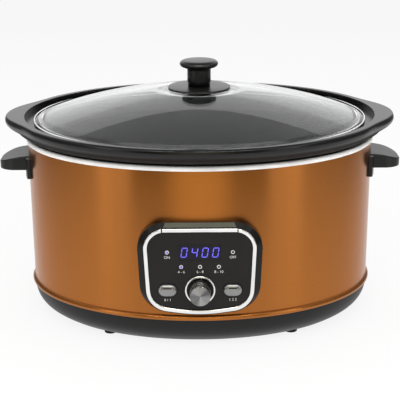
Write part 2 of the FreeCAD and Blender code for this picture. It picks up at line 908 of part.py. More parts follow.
def make_tact_switches():
    switches = []
    for x, z in button_places():
        low = vec(x - switch_half, board_front - switch_height + 1.0, z - switch_half)
        body = Part.makeBox(2 * switch_half, switch_height - 1.0, 2 * switch_half, low)
        cap = along_y(1.8, x, z, board_front - switch_height, board_front - 1.0)
        switches.append(body.fuse(cap).removeSplitter())
    return Part.makeCompound(switches)


def make_control_board():
    low = vec(-board_half_width, board_front, board_bottom)
    board = Part.makeBox(2 * board_half_width, board_thickness, board_top - board_bottom, low)
    for x, z in board_post_places():
        board = board.cut(along_y(board_screw_radius + screw_gap, x, z, board_front - 1, board_back + 1))
    return board


def make_board_screws():
    screws = []
    for x, z in board_post_places():
        head = along_y(board_screw_head_radius, x, z, board_back, board_back + board_screw_head_height)
        shank = along_y(board_screw_radius, x, z, face_back + 1.5, board_back)
        screws.append(head.fuse(shank).removeSplitter())
    top = cover_z + cover_thickness + power_post_height + board_thickness
    for x, y in power_post_places():
        head = cylinder(board_screw_head_radius, vec(x, y, top), vec(0, 0, 1), board_screw_head_height)
        start = vec(x, y, cover_z + cover_thickness + 2)
        shank = cylinder(board_screw_radius, start, vec(0, 0, 1), power_post_height)
        screws.append(head.fuse(shank).removeSplitter())
    return Part.makeCompound(screws)


def make_power_board():
    low = cover_z + cover_thickness + power_post_height
    corner = vec(-power_half_width, power_front, low)
    board = Part.makeBox(2 * power_half_width, power_back - power_front, board_thickness, corner)
    for x, y in power_post_places():
        board = board.cut(cylinder(board_screw_radius + screw_gap, vec(x, y, low - 1), vec(0, 0, 1), 4))
    return board


def power_top():
    return cover_z + cover_thickness + power_post_height + board_thickness


def make_relay():
    middle = (power_front + power_back) / 2
    low = vec(-relay_size - 8, middle - relay_size / 2, power_top())
    return Part.makeBox(relay_size, relay_size * 0.8, relay_height, low)


def make_capacitor():
    middle = (power_front + power_back) / 2
    return cylinder(capacitor_radius, vec(18, middle, power_top()), vec(0, 0, 1), capacitor_height)


def make_terminal_block():
    low = vec(-terminal_width / 2, power_back - 12, power_top())
    block = Part.makeBox(terminal_width, 9, terminal_height, low)
    for step in (-1, 0, 1):
        place = vec(step * terminal_width / 3.2, power_back - 7.5, power_top() + terminal_height - 4)
        block = block.cut(cylinder(2.2, place, vec(0, 0, 1), 6))
    return block


def make_ribbon_cable():
    # Flat cable from the back of the control board down to the power board
    width = 18.0
    thick = 0.8
    low = power_top()
    top = board_bottom + 8
    drop_y = board_back
    corners = [
        vec(-width / 2, drop_y, top),
        vec(-width / 2, drop_y + thick, top),
        vec(-width / 2, drop_y + thick, wrap_z + 4),
        vec(-width / 2, power_front + 12, low + thick),
        vec(-width / 2, power_front + 12, low),
        vec(-width / 2, power_front, low),
        vec(-width / 2, drop_y, wrap_z + 3),
        vec(-width / 2, drop_y, top),
    ]
    return Part.Face(Part.makePolygon(corners)).extrude(vec(width, 0, 0))


def make_cord_gland():
    outside = body_half_depth - gland_inset
    gland = cylinder(gland_radius, vec(0, outside, gland_z), vec(0, -1, 0), gland_length)
    gland = gland.fuse(cylinder(gland_flange_radius, vec(0, outside, gland_z), vec(0, 1, 0), gland_flange))
    bore_start = vec(0, outside + gland_flange + 1, gland_z)
    bore = cylinder(gland_bore, bore_start, vec(0, -1, 0), gland_length + gland_flange + 2)
    return gland.cut(bore).removeSplitter()


def make_all():
    return {
        "base": make_base(),
        "bottom_cover": make_bottom_cover(),
        "feet": make_feet(),
        "outer_wrap": make_outer_wrap(),
        "rim_ring": make_rim_ring(),
        "heating_well": make_heating_well(),
        "seat_pad": make_seat_pad(),
        "heater_band": make_heater_band(),
        "heat_shield": make_heat_shield(),
        "tie_bolt": make_tie_bolt(),
        "tie_sleeves": make_tie_sleeves(),
        "tie_nut": make_tie_nut(),
        "temperature_sensor": make_temperature_sensor(),
        "thermal_fuse": make_thermal_fuse(),
        "crock": make_crock(),
        "lid_glass": make_lid_glass(),
        "knob_disc": make_knob_disc(),
        "lid_knob": make_lid_knob(),
        "lid_washer": make_lid_washer(),
        "lid_screw": make_lid_screw(),
        "handle_left": make_handle(-1),
        "handle_right": make_handle(1),
        "handle_screws": make_handle_screws(),
        "panel_pod": make_panel_pod(),
        "panel_frame": make_panel_frame(),
        "panel_frame_top": make_panel_frame_top(),
        "panel_face": make_panel_face(),
        "display_window": make_display_window(),
        "display_module": make_display_module(),
        "light_pipes": make_light_pipes(),
        "dial_ring": make_dial_ring(),
        "dial_dish": make_dial_dish(),
        "dial_knob": make_dial_knob(),
        "encoder_shaft": make_encoder_shaft(),
        "rotary_encoder": make_rotary_encoder(),
        "button_power": make_button(-button_x, control_z),
        "button_menu": make_button(button_x, control_z),
        "tact_switches": make_tact_switches(),
        "control_board": make_control_board(),
        "board_screws": make_board_screws(),
        "power_board": make_power_board(),
        "relay": make_relay(),
        "capacitor": make_capacitor(),
        "terminal_block": make_terminal_block(),
        "ribbon_cable": make_ribbon_cable(),
        "cord_gland": make_cord_gland(),
    }


os.makedirs("parts", exist_ok=True)
for node, shape in make_all().items():
    shape.exportStep("parts/" + node + ".step")
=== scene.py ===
import json
import math

import bmesh
import bpy
from mathutils import Matrix, Vector


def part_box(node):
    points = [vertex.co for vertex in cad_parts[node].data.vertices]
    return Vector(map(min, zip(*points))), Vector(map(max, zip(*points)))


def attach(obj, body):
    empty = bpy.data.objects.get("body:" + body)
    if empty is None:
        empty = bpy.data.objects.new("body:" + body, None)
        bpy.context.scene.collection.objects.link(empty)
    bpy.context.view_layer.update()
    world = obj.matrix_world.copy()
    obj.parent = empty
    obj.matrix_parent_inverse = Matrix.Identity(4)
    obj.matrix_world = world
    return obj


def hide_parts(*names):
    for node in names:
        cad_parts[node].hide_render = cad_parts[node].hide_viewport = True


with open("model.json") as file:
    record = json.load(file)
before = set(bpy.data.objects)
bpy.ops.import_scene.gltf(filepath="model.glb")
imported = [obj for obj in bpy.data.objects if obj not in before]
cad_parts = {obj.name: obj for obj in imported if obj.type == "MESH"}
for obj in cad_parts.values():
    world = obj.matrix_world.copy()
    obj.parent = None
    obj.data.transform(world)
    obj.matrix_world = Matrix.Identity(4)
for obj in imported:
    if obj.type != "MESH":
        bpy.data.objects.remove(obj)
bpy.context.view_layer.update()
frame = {"nodes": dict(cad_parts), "record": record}
nodes = frame["nodes"]
MM = 0.001

# Camera, as the photograph was taken
CAMERA_AIM = Vector((0.0, 0.0, 0.124))
CAMERA_DISTANCE = 1.2122
CAMERA_ELEVATION = math.radians(18.2)
CAMERA_AZIMUTH = math.radians(0.2)
CAMERA_ROLL = math.radians(-0.45)
CAMERA_LENS = 95.65
SENSOR_WIDTH = 36.0

# Places on the panel, most of them taken from the frame
FACE_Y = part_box("panel_face")[0].y
WINDOW_LOW, WINDOW_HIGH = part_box("display_window")
DIAL_LOW, DIAL_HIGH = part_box("dial_knob")
DIAL_CENTRE = Vector(((DIAL_LOW.x + DIAL_HIGH.x) / 2, DIAL_LOW.y, (DIAL_LOW.z + DIAL_HIGH.z) / 2))
PIPES_LOW, PIPES_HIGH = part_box("light_pipes")
PIPE_RADIUS = 1.6 * MM
UPPER_LIGHT_Z = PIPES_HIGH.z - PIPE_RADIUS
LOWER_LIGHT_Z = PIPES_LOW.z + PIPE_RADIUS
UPPER_LIGHT_X = PIPES_HIGH.x - PIPE_RADIUS
LOWER_LIGHT_X = 19.2 * MM

# Boxes of the lid knob and its disc, taken from the frame
KNOB_LOW, KNOB_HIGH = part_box("lid_knob")
DISC_LOW, DISC_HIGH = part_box("knob_disc")

# Top of the crock rim
CREST_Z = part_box("crock")[1].z

# Studio levels, places and sizes in metres
STUDIO_FILL = 0.45
FLOOR_WHITE = 0.86
FLOOR_TONE = (0.9, 0.9, 0.9)
FLOOR_HALF = 12.0
CARD_GOLD = (0.90, 0.82, 0.50)
CARD_DARK = (0.01, 0.008, 0.005)
CARD_GREY = (0.22, 0.215, 0.21)
CARD_CEILING = (0.22, 0.22, 0.22)
CARD_CEILING_EDGE = (0.85, 0.85, 0.85)
CEILING_FADE = 0.9
CARD_HALF_WIDTH = 0.40
CARD_TOP = 0.42
CARD_FADE = 0.038
FRONT_CARD_Y = -0.6
SIDE_CARD_X = 0.8
SIDE_CARD_FRONT = -0.62
SIDE_CARD_BACK = 1.2
SIDE_CARD_TOP = 0.7
CEILING_HALF_WIDTH = 1.1
CEILING_FRONT = -0.5
CEILING_BACK = 0.8
CEILING_Z = 1.0
LAMP_AIM = Vector((0, 0, 0.13))
LAMPS = {
    "top_softbox": {"place": (0, 0, 1.8), "size": (1.6, 1.2), "watts": 12},
    "front_softbox": {"place": (0, -1.5, 1.45), "size": (1.5, 0.9), "watts": 21},
    "back_softbox": {"place": (0, 1.7, 0.75), "size": (2.4, 0.7), "watts": 1.2},
    "left_softbox": {"place": (-1.5, -0.9, 0.7), "size": (0.8, 1.2), "watts": 5},
    "right_softbox": {"place": (1.5, -0.9, 0.7), "size": (0.8, 1.2), "watts": 5},
}

# Finish of the surfaces
GRAIN_DEPTH = 0.06 * MM
LINE_DEPTH = 0.03 * MM
GLAZE_DEPTH = 0.2 * MM
GLASS_WAVE_DEPTH = 0.4 * MM
MOTTLING_SCALE = 35.0
BRUSH_TURN = 0.25
DIAL_RING_SCALE = 5200.0
GLOSSY_GLAZE = 0.25
MATT_GLAZE = 0.85
MATT_BAND_BOTTOM = CREST_Z - 33.0 * MM
MATT_BAND_TOP = CREST_Z - 7.0 * MM


# Node helpers
class Shader:
    """A material with one principled shader and short ways to add nodes to it."""

    def __init__(self, name):
        self.material = bpy.data.materials.new(name)
        self.material.use_nodes = True
        self.tree = self.material.node_tree
        self.principled = self.tree.nodes["Principled BSDF"]

    def add(self, kind, **settings):
        node = self.tree.nodes.new(kind)
        for key, value in settings.items():
            setattr(node, key, value)
        return node

    def link(self, source, target):
        self.tree.links.new(source, target)

    def feed(self, socket, source):
        self.link(source, self.principled.inputs[socket])

    def brush_round(self, axis):
        """Brushing that runs round an axis."""
        tangent = self.add("ShaderNodeTangent", direction_type="RADIAL", axis=axis)
        self.feed("Tangent", tangent.outputs["Tangent"])

    def set(self, **values):
        for key, value in values.items():
            self.principled.inputs[key.replace("_", " ")].default_value = value

    def coordinates(self, scale=(1, 1, 1)):
        source = self.add("ShaderNodeTexCoord")
        mapping = self.add("ShaderNodeMapping")
        mapping.inputs["Scale"].default_value = scale
        self.link(source.outputs["Object"], mapping.inputs["Vector"])
        return mapping.outputs["Vector"]

    def noise(self, scale, detail=3.0, stretch=(1, 1, 1)):
        node = self.add("ShaderNodeTexNoise")
        node.inputs["Scale"].default_value = scale
        node.inputs["Detail"].default_value = detail
        self.link(self.coordinates(stretch), node.inputs["Vector"])
        return node.outputs["Fac"]

    def shades(self, factor, dark, light, low=0.3, high=0.7):
        ramp = self.add("ShaderNodeValToRGB")
        ramp.color_ramp.elements[0].position = low
        ramp.color_ramp.elements[0].color = (*dark, 1)
        ramp.color_ramp.elements[1].position = high
        ramp.color_ramp.elements[1].color = (*light, 1)
        self.link(factor, ramp.inputs["Fac"])
        return ramp.outputs["Color"]

    def spread(self, factor, low, high):
        node = self.add("ShaderNodeMapRange")
        node.inputs["To Min"].default_value = low
        node.inputs["To Max"].default_value = high
        self.link(factor, node.inputs["Value"])
        return node.outputs["Result"]

    def bump(self, height, strength, distance):
        node = self.add("ShaderNodeBump")
        node.inputs["Strength"].default_value = strength
        node.inputs["Distance"].default_value = distance
        self.link(height, node.inputs["Height"])
        self.feed("Normal", node.outputs["Normal"])


def math_node(tree, operation, *values):
    node = tree.nodes.new("ShaderNodeMath")
    node.operation = operation
    for socket, value in zip(node.inputs, values):
        if isinstance(value, float):
            socket.default_value = value
        else:
            tree.links.new(value, socket)
    return node.outputs["Value"]


def shaded(colour, factor):
    return tuple(channel * factor for channel in colour)


def moulded(name, colour, roughness, grain=900.0, relief=0.12, specular=0.5):
    """Moulded plastic, rubber or enamel: faint mottling, uneven gloss and a fine grain."""
    shader = Shader(name)
    mottling = shader.noise(MOTTLING_SCALE, 4.0)
    shader.feed("Base Color", shader.shades(mottling, shaded(colour, 0.86), shaded(colour, 1.14)))
    shader.feed("Roughness", shader.spread(mottling, roughness * 0.85, roughness * 1.15))
    shader.bump(shader.noise(grain, 2.0), relief, GRAIN_DEPTH)
    shader.set(Specular_IOR_Level=specular)
    return shader.material


def metal(name, colour, roughness, stretch=(1, 1, 1), grain=1500.0, relief=0.06):
    """Plated or rolled metal with fine drawn lines and slight tarnish."""
    shader = Shader(name)
    tarnish = shader.noise(30.0, 4.0)
    shader.feed("Base Color", shader.shades(tarnish, shaded(colour, 0.9), shaded(colour, 1.06)))
    lines = shader.noise(grain, 2.0, stretch)
    shader.feed("Roughness", shader.spread(lines, roughness * 0.8, roughness * 1.25))
    shader.bump(lines, relief, LINE_DEPTH)
    shader.set(Metallic=1.0)
    return shader.material


def copper_lacquer():
    """Copper-toned sheet, brushed along the body, under a clear lacquer."""
    shader = Shader("copper_lacquer")
    streaks = shader.noise(90.0, 5.0, (0.35, 0.35, 45.0))
    shader.feed("Base Color", shader.shades(streaks, (0.395, 0.136, 0.0265), (0.425, 0.148, 0.031)))
    shader.feed("Roughness", shader.spread(streaks, 0.26, 0.32))
    shader.bump(streaks, 0.012, LINE_DEPTH)
    shader.set(Metallic=1.0, Anisotropic=0.85, Anisotropic_Rotation=BRUSH_TURN)
    shader.set(Coat_Weight=0.12, Coat_Roughness=0.1)
    shader.brush_round("Z")
    return shader.material


def spun_metal(name, colour):
    """Turned face: fine rings round the dial's axis, with light and dark wedges of painted reflection.
    """
    shader = Shader(name)
    source = shader.add("ShaderNodeTexCoord")
    offset = shader.add("ShaderNodeVectorMath", operation="SUBTRACT")
    offset.inputs[1].default_value = DIAL_CENTRE
    flat = shader.add("ShaderNodeVectorMath", operation="MULTIPLY")
    flat.inputs[1].default_value = (1, 0, 1)
    length = shader.add("ShaderNodeVectorMath", operation="LENGTH")
    shader.link(source.outputs["Object"], offset.inputs[0])
    shader.link(offset.outputs["Vector"], flat.inputs[0])
    shader.link(flat.outputs["Vector"], length.inputs[0])
    rings = shader.add("ShaderNodeTexNoise", noise_dimensions="1D")
    rings.inputs["Scale"].default_value = DIAL_RING_SCALE
    rings.inputs["Detail"].default_value = 2.0
    shader.link(length.outputs["Value"], rings.inputs["W"])
    axes = shader.add("ShaderNodeSeparateXYZ")
    shader.link(offset.outputs["Vector"], axes.inputs["Vector"])
    # Light and dark wedges round the axis: painted reflection of spun metal, fixed in the colour
    turn = math_node(shader.tree, "ARCTAN2", axes.outputs["Z"], axes.outputs["X"])
    wide_turn = math_node(shader.tree, "MULTIPLY_ADD", turn, 2.0, 2.2)
    fine_turn = math_node(shader.tree, "MULTIPLY_ADD", turn, 5.0, 0.7)
    wide = math_node(shader.tree, "COSINE", wide_turn)
    fine = math_node(shader.tree, "COSINE", fine_turn)
    painted_reflection_wedges = math_node(shader.tree, "MULTIPLY_ADD", fine, 0.4, wide)
    level = shader.add("ShaderNodeMapRange")
    level.inputs["From Min"].default_value = -1.3
    level.inputs["From Max"].default_value = 1.3
    shader.link(painted_reflection_wedges, level.inputs["Value"])
    tone = math_node(shader.tree, "MULTIPLY_ADD", rings.outputs["Fac"], 0.25, level.outputs["Result"])
    shader.feed("Base Color", shader.shades(tone, shaded(colour, 0.42), shaded(colour, 1.5), 0.05, 1.1))
    shader.bump(rings.outputs["Fac"], 0.05, LINE_DEPTH)
    shader.set(Metallic=1.0, Roughness=0.24, Anisotropic=0.9, Anisotropic_Rotation=BRUSH_TURN)
    shader.brush_round("Y")
    return shader.material


def clear_glass(name, tint, roughness):
    """Clear glass with a faint waviness."""
    shader = Shader(name)
    waves = shader.noise(18.0, 2.0)
    shader.feed("Base Color", shader.shades(waves, shaded(tint, 0.985), tint))
    shader.feed("Roughness", shader.spread(waves, roughness * 0.7, roughness * 1.3))
    shader.bump(waves, 0.02, GLASS_WAVE_DEPTH)
    shader.set(Transmission_Weight=1.0, IOR=1.42)
    return shader.material


def glow(name, colour, strength):
    """Lit segment or lamp lens with a fine unevenness."""
    shader = Shader(name)
    cells = shader.noise(700.0, 2.0)
    lit = shader.shades(cells, shaded(colour, 0.85), colour)
    shader.feed("Base Color", lit)
    shader.feed("Emission Color", lit)
    shader.set(Emission_Strength=strength, Roughness=0.3, Specular_IOR_Level=0.2)
    return shader.material


def black_stoneware():
    """Black glaze, left matt in a band under the rim where the crock rests."""
    shader = Shader("black_stoneware")
    mottling = shader.noise(MOTTLING_SCALE, 4.0)
    shader.feed("Base Color", shader.shades(mottling, (0.003, 0.003, 0.003), (0.004, 0.004, 0.004)))
    place = shader.add("ShaderNodeTexCoord")
    axes = shader.add("ShaderNodeSeparateXYZ")
    shader.link(place.outputs["Object"], axes.inputs["Vector"])
    height = shader.add("ShaderNodeMapRange")
    height.inputs["From Min"].default_value = MATT_BAND_BOTTOM
    height.inputs["From Max"].default_value = MATT_BAND_TOP
    shader.link(axes.outputs["Z"], height.inputs["Value"])
    band = shader.add("ShaderNodeValToRGB")
    stops = band.color_ramp.elements
    for stop, position in zip(stops, (0.30, 0.96)):
        stop.position = position
        stop.color = (GLOSSY_GLAZE, GLOSSY_GLAZE, GLOSSY_GLAZE, 1)
    for position in (0.38, 0.80):
        stops.new(position).color = (MATT_GLAZE, MATT_GLAZE, MATT_GLAZE, 1)
    shader.link(height.outputs["Result"], band.inputs["Fac"])
    shader.feed("Roughness", band.outputs["Color"])
    shader.bump(shader.noise(260.0, 2.0), 0.04, GLAZE_DEPTH)
    shader.set(Specular_IOR_Level=0.36)
    return shader.material


def circuit_green():
    """Solder mask with copper tracks showing through."""
    shader = Shader("circuit_green")
    tracks = shader.add("ShaderNodeTexBrick")
    tracks.inputs["Scale"].default_value = 160.0
    tracks.inputs["Color1"].default_value = (0.012, 0.12, 0.045, 1)
    tracks.inputs["Color2"].default_value = (0.015, 0.15, 0.055, 1)
    tracks.inputs["Mortar"].default_value = (0.03, 0.22, 0.08, 1)
    shader.link(shader.coordinates(), tracks.inputs["Vector"])
    shader.feed("Base Color", tracks.outputs["Color"])
    shader.feed("Roughness", shader.spread(shader.noise(60.0), 0.3, 0.45))
    return shader.material


MATERIALS = {
    "base_plastic": moulded("base_plastic", (0.008, 0.008, 0.0078), 0.42, 1400.0, 0.18, specular=0.25),
    "foot_rubber": moulded("foot_rubber", (0.014, 0.014, 0.014), 0.75, 700.0, 0.3, specular=0.2),
    "copper_metal": copper_lacquer(),
    "cream_enamel": moulded("cream_enamel", (0.96, 0.95, 0.92), 0.3, 250.0, 0.04),
    # Heating well coloured near black: painted shade of the dark gap under the crock rim, darker than
    # its steel
    "well_steel": moulded("well_steel", (0.006, 0.006, 0.006), 0.6, 900.0, 0.1, specular=0.15),
    "heater_mica": moulded("heater_mica", (0.42, 0.35, 0.25), 0.7, 300.0, 0.3),
    "bright_steel": metal("bright_steel", (0.66, 0.66, 0.66), 0.28),
    "black_stoneware": black_stoneware(),
    "lid_glass": clear_glass("lid_glass", (0.97, 0.985, 0.98), 0.0025),
    "knob_plastic": moulded("knob_plastic", (0.005, 0.005, 0.005), 0.3, 1600.0, 0.06),
    "handle_plastic": moulded(
        "handle_plastic", (0.0045, 0.0045, 0.0038), 0.36, 1500.0, 0.16, specular=0.42
    ),
    "pod_plastic": moulded("pod_plastic", (0.006, 0.0058, 0.0052), 0.26, 1800.0, 0.03, specular=0.2),
    "frame_chrome": metal("frame_chrome", (0.86, 0.86, 0.85), 0.07, relief=0.02),
    "face_plastic": moulded("face_plastic", (0.0115, 0.0105, 0.0098), 0.34, 2200.0, 0.05, specular=0.2),
    "display_tint": moulded("display_tint", (0.009, 0.008, 0.010), 0.2, 2500.0, 0.02, specular=0.2),
    "dark_module": moulded("dark_module", (0.03, 0.03, 0.034), 0.45, 900.0, 0.15),
    "clear_pipe": moulded("clear_pipe", (0.05, 0.05, 0.055), 0.15, 900.0, 0.05),
    "spun_silver": spun_metal("spun_silver", (0.235, 0.235, 0.235)),
    "button_silver": metal("button_silver", (0.31, 0.31, 0.31), 0.32, (1, 1, 30), 700.0, 0.05),
    "circuit_board": circuit_green(),
    "cable_grey": moulded("cable_grey", (0.36, 0.36, 0.38), 0.5, 500.0, 0.2),
}
LABEL_WHITE = moulded("label_white", (0.62, 0.61, 0.59), 0.45, 1200.0, 0.05)
RING_WHITE = moulded("ring_white", (0.72, 0.71, 0.70), 0.3, 1200.0, 0.05)
LENS_DARK = moulded("lens_dark", (0.03, 0.03, 0.035), 0.12, 1200.0, 0.03)
# Whitish ring on the lid's rim: painted highlight of the polished glass edge
EDGE_PAINTED_HIGHLIGHT = moulded("edge_painted_highlight", (0.90, 0.91, 0.90), 0.18, 900.0, 0.03)
# Olive grey strip on the black hood: painted sheen of the top light
HOOD_PAINTED_SHEEN = moulded("hood_painted_sheen", (0.072, 0.071, 0.048), 0.4, 1500.0, 0.1, specular=0.3)
HALO_BLUE = glow("halo_blue", (0.009, 0.008, 0.022), 0.1)
DIGIT_GLOW = glow("digit_glow", (0.125, 0.10, 0.66), 0.8)
LENS_GLOW = glow("lens_glow", (0.20, 0.13, 0.75), 0.75)


def dress_nodes():
    for part in frame["record"]["subparts"]:
        mesh = nodes[part["node"]].data
        mesh.materials.clear()
        mesh.materials.append(MATERIALS[part["material_slot"]])


# Mesh helpers
MERGE_DISTANCE = 1e-7


def new_piece(name, mesh, material, body, smooth=True):
    piece = bpy.data.objects.new(name, mesh)
    bpy.context.scene.collection.objects.link(piece)
    mesh.materials.append(material)
    for face in mesh.polygons:
        face.use_smooth = smooth
    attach(piece, body)
    return piece


def mesh_from(build, name):
    work = bmesh.new()
    build(work)
    bmesh.ops.remove_doubles(work, verts=work.verts[:], dist=MERGE_DISTANCE)
    bmesh.ops.recalc_face_normals(work, faces=work.faces[:])
    mesh = bpy.data.meshes.new(name)
    work.to_mesh(mesh)
    work.free()
    return mesh


def add_prism(work, front, back):
    """Solid between two outlines with the same number of corners."""
    front_corners = [work.verts.new(corner) for corner in front]
    back_corners = [work.verts.new(corner) for corner in back]
    work.faces.new(front_corners)
    work.faces.new(back_corners[::-1])
    count = len(front_corners)
    for step in range(count):
        ahead = (step + 1) % count
        sides = (front_corners[step], back_corners[step], back_corners[ahead], front_corners[ahead])
        work.faces.new(sides)


def lathe(name, profile, steps, place, turn):
    """Surface turned from (radius, height) points, then turned or stretched by a matrix."""

    def build(work):
        rings = []
        for radius, height in profile:
            if radius < MERGE_DISTANCE:
                rings.append([work.verts.new(place + turn @ Vector((0, 0, height)))])
                continue
            ring = []
            for step in range(steps):
                angle = 2 * math.pi * step / steps
                spot = Vector((radius * math.cos(angle), radius * math.sin(angle), height))
                ring.append(work.verts.new(place + turn @ spot))
            rings.append(ring)
        for lower, upper in zip(rings, rings[1:]):
            for step in range(steps):
                ahead = (step + 1) % steps
                corners = []
                for corner in (
                    lower[step % len(lower)],
                    lower[ahead % len(lower)],
                    upper[ahead % len(upper)],
                    upper[step % len(upper)],
                ):
                    if corner not in corners:
                        corners.append(corner)
                if len(corners) > 2:
                    work.faces.new(corners)

    return mesh_from(build, name)


def curve_points(points, steps):
    """Points of a smooth line through (radius, height) points."""
    line = []
    count = len(points)
    for index in range(count - 1):
        before = Vector(points[max(index - 1, 0)])
        start = Vector(points[index])
        end = Vector(points[index + 1])
        after = Vector(points[min(index + 2, count - 1)])
        for step in range(steps):
            t = step / steps
            a = 2 * start
            b = end - before
            c = 2 * before - 5 * start + 4 * end - after
            d = 3 * start - before - 3 * end + after
            line.append(0.5 * (a + b * t + c * t * t + d * t * t * t))
    line.append(Vector(points[-1]))
    return [(max(point.x, 0.0), point.y) for point in line]


UPRIGHT = Matrix.Identity(3)
FORWARD = Matrix.Rotation(math.radians(90), 3, "X")


# Seven-segment display
SEGMENTS = {"0": "abcdef", "4": "bcfg"}
DIGITS = "0400"
DIGIT_PITCH = 10.7 * MM
DIGIT_WIDTH = 5.4 * MM
DIGIT_HEIGHT = 9.8 * MM
SEGMENT_WIDTH = 1.0 * MM
SEGMENT_GAP = 0.22 * MM
DIGIT_SLANT = math.tan(math.radians(9))
DIGIT_PROUD = 0.15 * MM


def segment_outline(key):
    half_width = DIGIT_WIDTH / 2
    half_height = DIGIT_HEIGHT / 2
    ends = {
        "a": ((-half_width, half_height), (half_width, half_height)),
        "b": ((half_width, half_height), (half_width, 0)),
        "c": ((half_width, 0), (half_width, -half_height)),
        "d": ((-half_width, -half_height), (half_width, -half_height)),
        "e": ((-half_width, 0), (-half_width, -half_height)),
        "f": ((-half_width, half_height), (-half_width, 0)),
        "g": ((-half_width, 0), (half_width, 0)),
    }
    start, end = (Vector(point) for point in ends[key])
    along = (end - start).normalized()
    across = Vector((-along.y, along.x)) * SEGMENT_WIDTH / 2
    start = start + along * SEGMENT_GAP
    end = end - along * SEGMENT_GAP
    taper = along * SEGMENT_WIDTH / 2
    upper = [start + taper + across, end - taper + across]
    lower = [end - taper - across, start + taper - across]
    return [start] + upper + [end] + lower


def make_digits():
    middle = (WINDOW_LOW + WINDOW_HIGH) / 2

    def build(work):
        for index, digit in enumerate(DIGITS):
            shift = (index - (len(DIGITS) - 1) / 2) * DIGIT_PITCH
            for key in SEGMENTS[digit]:
                front = []
                back = []
                for point in segment_outline(key):
                    x = middle.x + shift + point.x + DIGIT_SLANT * point.y
                    z = middle.z + point.y
                    front.append((x, FACE_Y - DIGIT_PROUD, z))
                    back.append((x, FACE_Y + DIGIT_PROUD, z))
                add_prism(work, front, back)

    mesh = mesh_from(build, "display_digits")
    new_piece("display_digits", mesh, DIGIT_GLOW, "housing", False)


# Indicator lamps
def light_places():
    upper = [(-UPPER_LIGHT_X, UPPER_LIGHT_Z), (UPPER_LIGHT_X, UPPER_LIGHT_Z)]
    lower = [(side * LOWER_LIGHT_X, LOWER_LIGHT_Z) for side in (-1, 0, 1)]
    return upper + lower


LIT_LAMPS = (0, 2)
LAMP_CURVE_STEPS = 4
BEZEL_STEPS = 40
LENS_STEPS = 32
BEZEL_POINTS_MM = [(1.35, -0.3), (1.4, 0.3), (1.65, 0.45), (1.95, 0.3), (2.05, -0.3)]
LENS_POINTS_MM = [(1.3, -0.2), (1.25, 0.1), (0.8, 0.22), (0.0, 0.26)]


def lamp_profile(points_mm):
    return [(radius * MM, height * MM) for radius, height in curve_points(points_mm, LAMP_CURVE_STEPS)]


def make_lamps():
    for index, (x, z) in enumerate(light_places()):
        place = Vector((x, FACE_Y, z))
        bezel = lathe(f"lamp_ring_{index}", lamp_profile(BEZEL_POINTS_MM), BEZEL_STEPS, place, FORWARD)
        new_piece(f"lamp_ring_{index}", bezel, RING_WHITE, "housing")
        cap = lathe(f"lamp_lens_{index}", lamp_profile(LENS_POINTS_MM), LENS_STEPS, place, FORWARD)
        finish = LENS_GLOW if index in LIT_LAMPS else LENS_DARK
        new_piece(f"lamp_lens_{index}", cap, finish, "housing")


# Generic printed marks in place of words
MARK_THICKNESS = 0.06 * MM
MARK_SIZE = 3.9 * MM
MARK_BELOW_LAMP = 5.6 * MM
MARK_BELOW_DIAL = 11.2 * MM
MARK_BUTTON_X = 33.5 * MM
LAMP_WORDS = ("ON", "OFF", "4 - 6", "6 - 8", "8 - 10")


def make_text(name, words, x, z):
    curve = bpy.data.curves.new(name, "FONT")
    curve.body = words
    curve.align_x = "CENTER"
    curve.align_y = "CENTER"
    curve.size = MARK_SIZE
    curve.extrude = MARK_THICKNESS
    holder = bpy.data.objects.new(name + "_curve", curve)
    bpy.context.scene.collection.objects.link(holder)
    bpy.context.view_layer.update()
    shaped = holder.evaluated_get(bpy.context.evaluated_depsgraph_get())
    mesh = bpy.data.meshes.new_from_object(shaped)
    bpy.data.objects.remove(holder)
    mesh.transform(Matrix.Translation((x, FACE_Y, z)) @ FORWARD.to_4x4())
    mesh.materials.clear()
    new_piece(name, mesh, LABEL_WHITE, "housing", False)


def make_marks():
    for index, (x, z) in enumerate(light_places()):
        make_text(f"mark_lamp_{index}", LAMP_WORDS[index], x, z - MARK_BELOW_LAMP)
    button_z = DIAL_CENTRE.z - MARK_BELOW_DIAL
    make_text("mark_power", "0 / 1", -MARK_BUTTON_X, button_z)
    make_text("mark_menu", "1 2 3", MARK_BUTTON_X, button_z)


# Lid knob and its disc, turned with round edges
POST_RADIUS = 12.9 * MM
COLLAR_RADIUS = 12.0 * MM
COLLAR_HEIGHT = 4.6 * MM
CAP_HEIGHT = 10.5 * MM
CAP_FLAT_SHARE = 0.4
DISC_SHOULDER_SHARE = 0.86
DISC_DISH = 0.6 * MM
KNOB_CURVE_STEPS = 5
KNOB_STEPS = 96
DISC_STEPS = 128


def make_grip():
    height = KNOB_HIGH.z - KNOB_LOW.z
    radius = (KNOB_HIGH.x - KNOB_LOW.x) / 2
    neck = height - CAP_HEIGHT
    foot = [
        (0, 0),
        (COLLAR_RADIUS, 0),
        (COLLAR_RADIUS, COLLAR_HEIGHT - 0.7 * MM),
        (POST_RADIUS - 0.3 * MM, COLLAR_HEIGHT - 0.2 * MM),
        (POST_RADIUS, COLLAR_HEIGHT + 0.4 * MM),
    ]
    cap = [
        (POST_RADIUS, neck - 1.2 * MM),
        (POST_RADIUS + 0.35 * MM, neck + 0.5 * MM),
        (POST_RADIUS + 1.8 * MM, neck + 1.7 * MM),
        (radius - 2.4 * MM, neck + 2.9 * MM),
        (radius - 0.6 * MM, neck + 4.4 * MM),
        (radius, neck + 6.0 * MM),
        (radius - 0.5 * MM, neck + 7.6 * MM),
        (radius - 2.0 * MM, neck + 9.0 * MM),
        (radius - 5.0 * MM, neck + 9.9 * MM),
        (radius * CAP_FLAT_SHARE, height - 0.15 * MM),
        (0, height),
    ]
    profile = foot + curve_points(cap, KNOB_CURVE_STEPS)
    mesh = lathe("knob_grip", profile, KNOB_STEPS, Vector((0, 0, KNOB_LOW.z)), UPRIGHT)
    knob = new_piece("knob_grip", mesh, MATERIALS["knob_plastic"], "lid")
    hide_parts("lid_knob")


